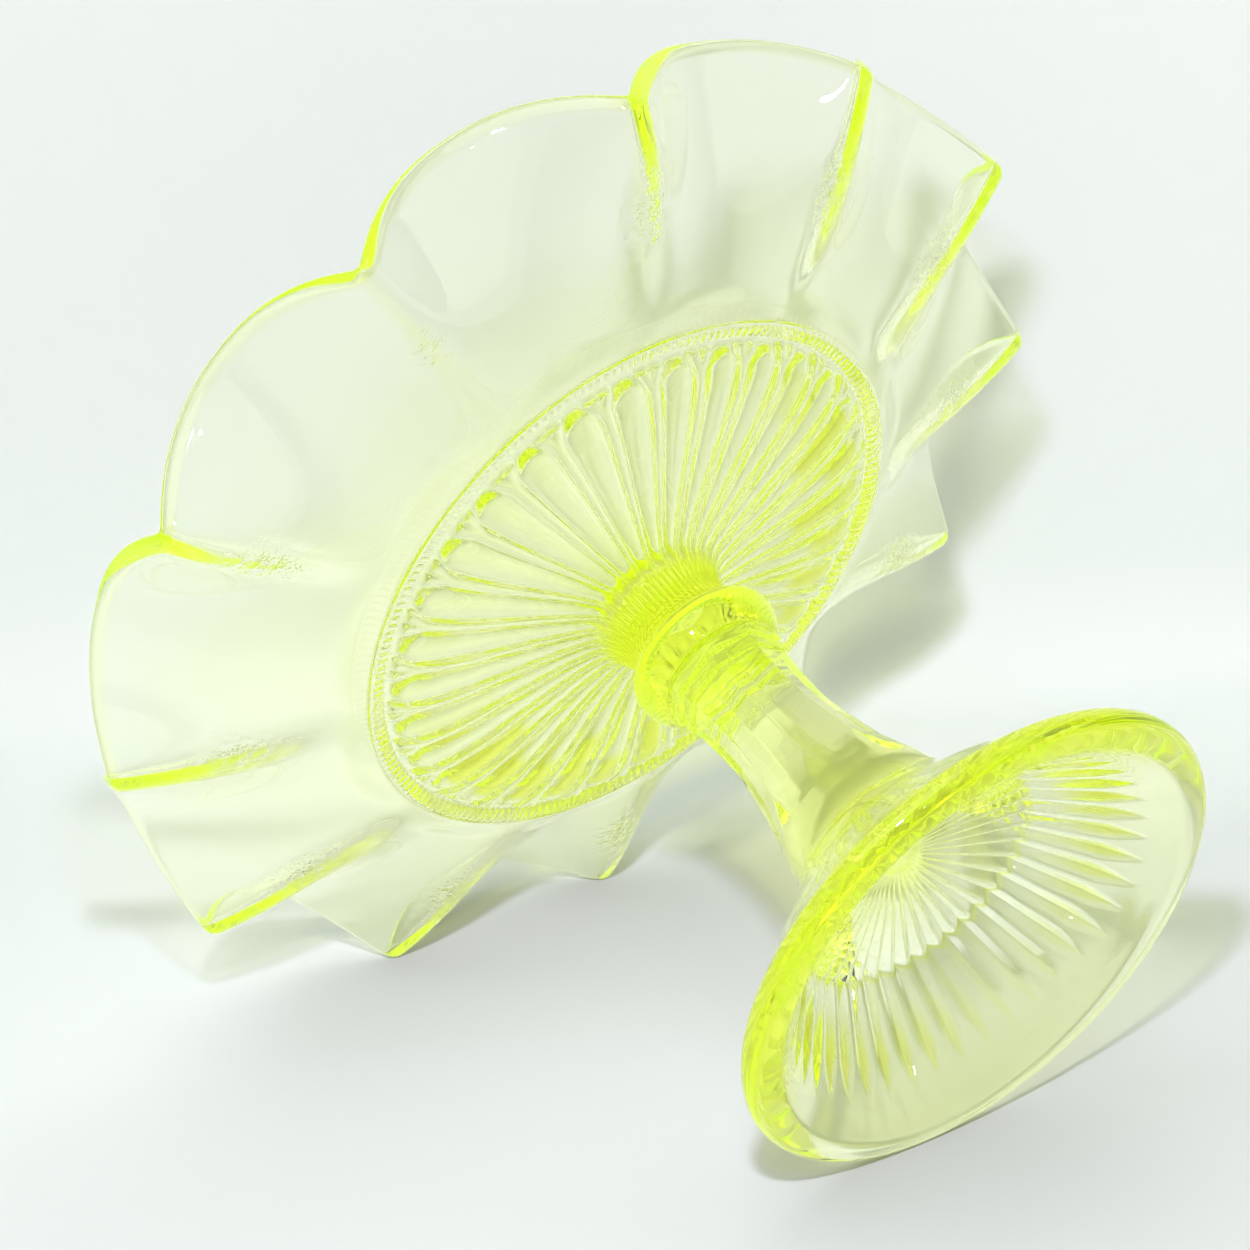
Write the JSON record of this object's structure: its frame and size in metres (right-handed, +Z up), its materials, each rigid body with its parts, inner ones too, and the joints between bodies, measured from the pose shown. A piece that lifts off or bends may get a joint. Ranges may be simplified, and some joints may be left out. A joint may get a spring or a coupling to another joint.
{
  "type": "footed glass dish",
  "caption": "Footed uranium-glass dish: a shallow bowl with a deeply crimped rim on a ribbed base, a glass joining wafer, and a panelled stem on a rayed round foot.",
  "frame": {"origin": "centre of the foot's resting plane", "axes": "+Z up along the stem, from the foot to the bowl's opening; X and Y are level"},
  "size_m": [0.2172, 0.2166, 0.1449],
  "materials": {
    "bowl_glass": "fire-polished yellow-green uranium glass",
    "wafer_glass": "yellow-green uranium glass with pitted edges",
    "foot_glass": "fire-polished yellow-green uranium glass"
  },
  "bodies": {
    "root": {"bowl": "bowl_glass", "wafer": "wafer_glass", "stem_and_foot": "foot_glass"}
  },
  "joints": []
}
